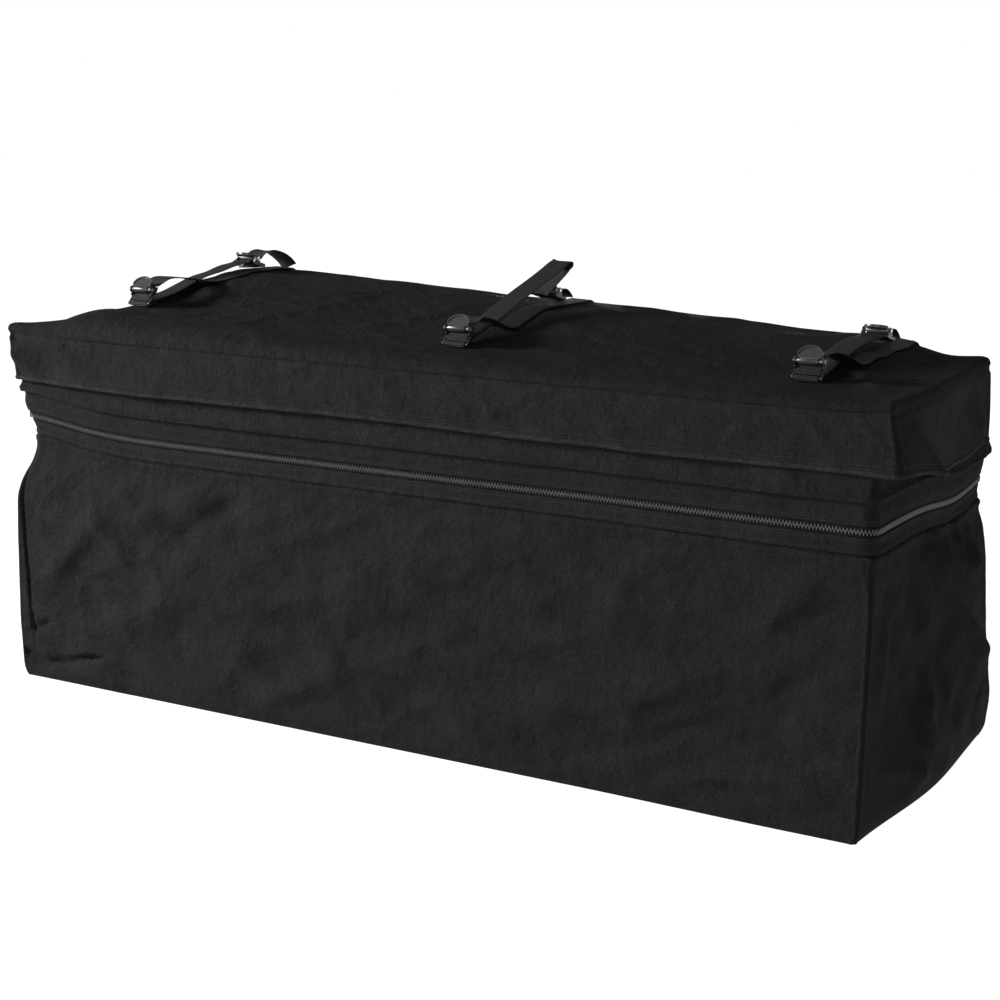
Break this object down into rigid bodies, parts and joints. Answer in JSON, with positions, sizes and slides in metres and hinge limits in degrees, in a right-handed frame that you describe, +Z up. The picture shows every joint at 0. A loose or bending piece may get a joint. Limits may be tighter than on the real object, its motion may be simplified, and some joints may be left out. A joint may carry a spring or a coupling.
{
  "type": "hitch cargo carrier bag",
  "caption": "Black expandable soft cargo bag for a hitch tray, with a zip-open lid under a rain flap, a zip-out height gusset and webbing straps with cam buckles on top.",
  "frame": {"origin": "on the underside of the floor panel, at the middle of the overall box", "axes": "+X along the bag towards its right end, -Y the front with the zipper flap, +Z up"},
  "size_m": [1.52, 0.59, 0.7377],
  "materials": {
    "shell_fabric": "coated black polyester, plain weave",
    "base_fabric": "coated black base cloth",
    "gusset_fabric": "coated black polyester",
    "binding_tape": "black woven binding",
    "zipper_tape": "black woven tape",
    "webbing": "black polypropylene webbing",
    "zipper_coil": "black coil",
    "pull_tab": "moulded pull",
    "buckle_body": "moulded black buckle frame",
    "buckle_lever": "moulded black cam lever",
    "slider_metal": "black enamelled slider",
    "axle_steel": "plated pin",
    "spring_steel": "spring wire"
  },
  "bodies": {
    "tub": {"floor_panel": "base_fabric", "front_wall": "shell_fabric", "right_wall": "shell_fabric", "back_wall": "shell_fabric", "left_wall": "shell_fabric", "corner_bindings": "binding_tape", "floor_binding": "binding_tape", "lower_zip_band": "shell_fabric", "expansion_tape_lower": "zipper_tape", "expansion_coil_lower": "zipper_coil", "gusset": "gusset_fabric"},
    "expansion_slider": {"expansion_slider": "slider_metal"},
    "expansion_pull": {"expansion_pull": "pull_tab"},
    "upper": {"expansion_coil_upper": "zipper_coil", "expansion_tape_upper": "zipper_tape", "upper_zip_band": "shell_fabric", "upper_front_wall": "shell_fabric", "upper_right_wall": "shell_fabric", "upper_back_wall": "shell_fabric", "upper_left_wall": "shell_fabric", "rear_hinge_band": "shell_fabric", "lid_tape_lower": "zipper_tape", "lid_coil_lower": "zipper_coil"},
    "left_lid_slider": {"left_lid_slider": "slider_metal"},
    "left_lid_pull": {"left_lid_pull": "pull_tab"},
    "right_lid_slider": {"right_lid_slider": "slider_metal"},
    "right_lid_pull": {"right_lid_pull": "pull_tab"},
    "lid": {"lid_coil_upper": "zipper_coil", "lid_tape_upper": "zipper_tape", "lid_border": "shell_fabric", "lid_back_border": "shell_fabric", "hinge_strip": "binding_tape", "top_panel": "shell_fabric", "front_flap": "shell_fabric", "right_flap": "shell_fabric", "left_flap": "shell_fabric", "flap_hem": "binding_tape", "buckle_tabs": "webbing", "left_strap": "webbing", "center_strap": "webbing", "right_strap": "webbing", "left_front_buckle": "buckle_body", "center_front_buckle": "buckle_body", "right_front_buckle": "buckle_body", "left_rear_buckle": "buckle_body", "center_rear_buckle": "buckle_body", "right_rear_buckle": "buckle_body", "buckle_axles": "axle_steel", "cam_springs": "spring_steel"},
    "left_front_cam": {"left_front_cam": "buckle_lever"},
    "center_front_cam": {"center_front_cam": "buckle_lever"},
    "right_front_cam": {"right_front_cam": "buckle_lever"},
    "left_rear_cam": {"left_rear_cam": "buckle_lever"},
    "center_rear_cam": {"center_rear_cam": "buckle_lever"},
    "right_rear_cam": {"right_rear_cam": "buckle_lever"}
  },
  "joints": [
    {"name": "expand", "type": "slide", "parent": "tub", "child": "upper", "axis": [0, 0, 1], "range_m": [0, 0.15], "deforming": ["gusset"]},
    {"name": "lid_open", "type": "hinge", "parent": "upper", "child": "lid", "pos_m": [0, 0.295, 0.56], "axis": [-1, 0, 0], "range_deg": [0, 110], "deforming": ["hinge_strip"]},
    {"name": "expansion_slider_travel", "type": "slide", "parent": "tub", "child": "expansion_slider", "axis": [-1, 0, 0], "range_m": [0, 1.28]},
    {"name": "expansion_pull_swing", "type": "hinge", "parent": "expansion_slider", "child": "expansion_pull", "pos_m": [0.64, 0.29, 0.435], "axis": [1, 0, 0], "range_deg": [0, 140]},
    {"name": "left_lid_slider_travel", "type": "slide", "parent": "upper", "child": "left_lid_slider", "axis": [-1, 0, 0], "range_m": [0, 0.68]},
    {"name": "left_lid_pull_swing", "type": "hinge", "parent": "left_lid_slider", "child": "left_lid_pull", "pos_m": [-0.013, -0.285, 0.56], "axis": [-1, 0, 0], "range_deg": [0, 6]},
    {"name": "right_lid_slider_travel", "type": "slide", "parent": "upper", "child": "right_lid_slider", "axis": [1, 0, 0], "range_m": [0, 0.68]},
    {"name": "right_lid_pull_swing", "type": "hinge", "parent": "right_lid_slider", "child": "right_lid_pull", "pos_m": [0.013, -0.285, 0.56], "axis": [-1, 0, 0], "range_deg": [0, 6]},
    {"name": "left_front_cam_lift", "type": "hinge", "parent": "lid", "child": "left_front_cam", "pos_m": [-0.594, -0.14413, 0.66944], "axis": [1, 0, 0], "range_deg": [0, 60], "stiffness_Nm_per_rad": 0.05, "springref_deg": -20.05},
    {"name": "center_front_cam_lift", "type": "hinge", "parent": "lid", "child": "center_front_cam", "pos_m": [0.025, -0.14413, 0.64596], "axis": [1, 0, 0], "range_deg": [0, 60], "stiffness_Nm_per_rad": 0.05, "springref_deg": -20.05},
    {"name": "right_front_cam_lift", "type": "hinge", "parent": "lid", "child": "right_front_cam", "pos_m": [0.594, -0.14413, 0.63952], "axis": [1, 0, 0], "range_deg": [0, 60], "stiffness_Nm_per_rad": 0.05, "springref_deg": -20.05},
    {"name": "left_rear_cam_lift", "type": "hinge", "parent": "lid", "child": "left_rear_cam", "pos_m": [-0.594, 0.15673, 0.70755], "axis": [-1, 0, 0], "range_deg": [0, 60], "stiffness_Nm_per_rad": 0.05, "springref_deg": -20.05},
    {"name": "center_rear_cam_lift", "type": "hinge", "parent": "lid", "child": "center_rear_cam", "pos_m": [0.025, 0.15673, 0.68558], "axis": [-1, 0, 0], "range_deg": [0, 60], "stiffness_Nm_per_rad": 0.05, "springref_deg": -20.05},
    {"name": "right_rear_cam_lift", "type": "hinge", "parent": "lid", "child": "right_rear_cam", "pos_m": [0.594, 0.15673, 0.65761], "axis": [-1, 0, 0], "range_deg": [0, 60], "stiffness_Nm_per_rad": 0.05, "springref_deg": -20.05}
  ]
}
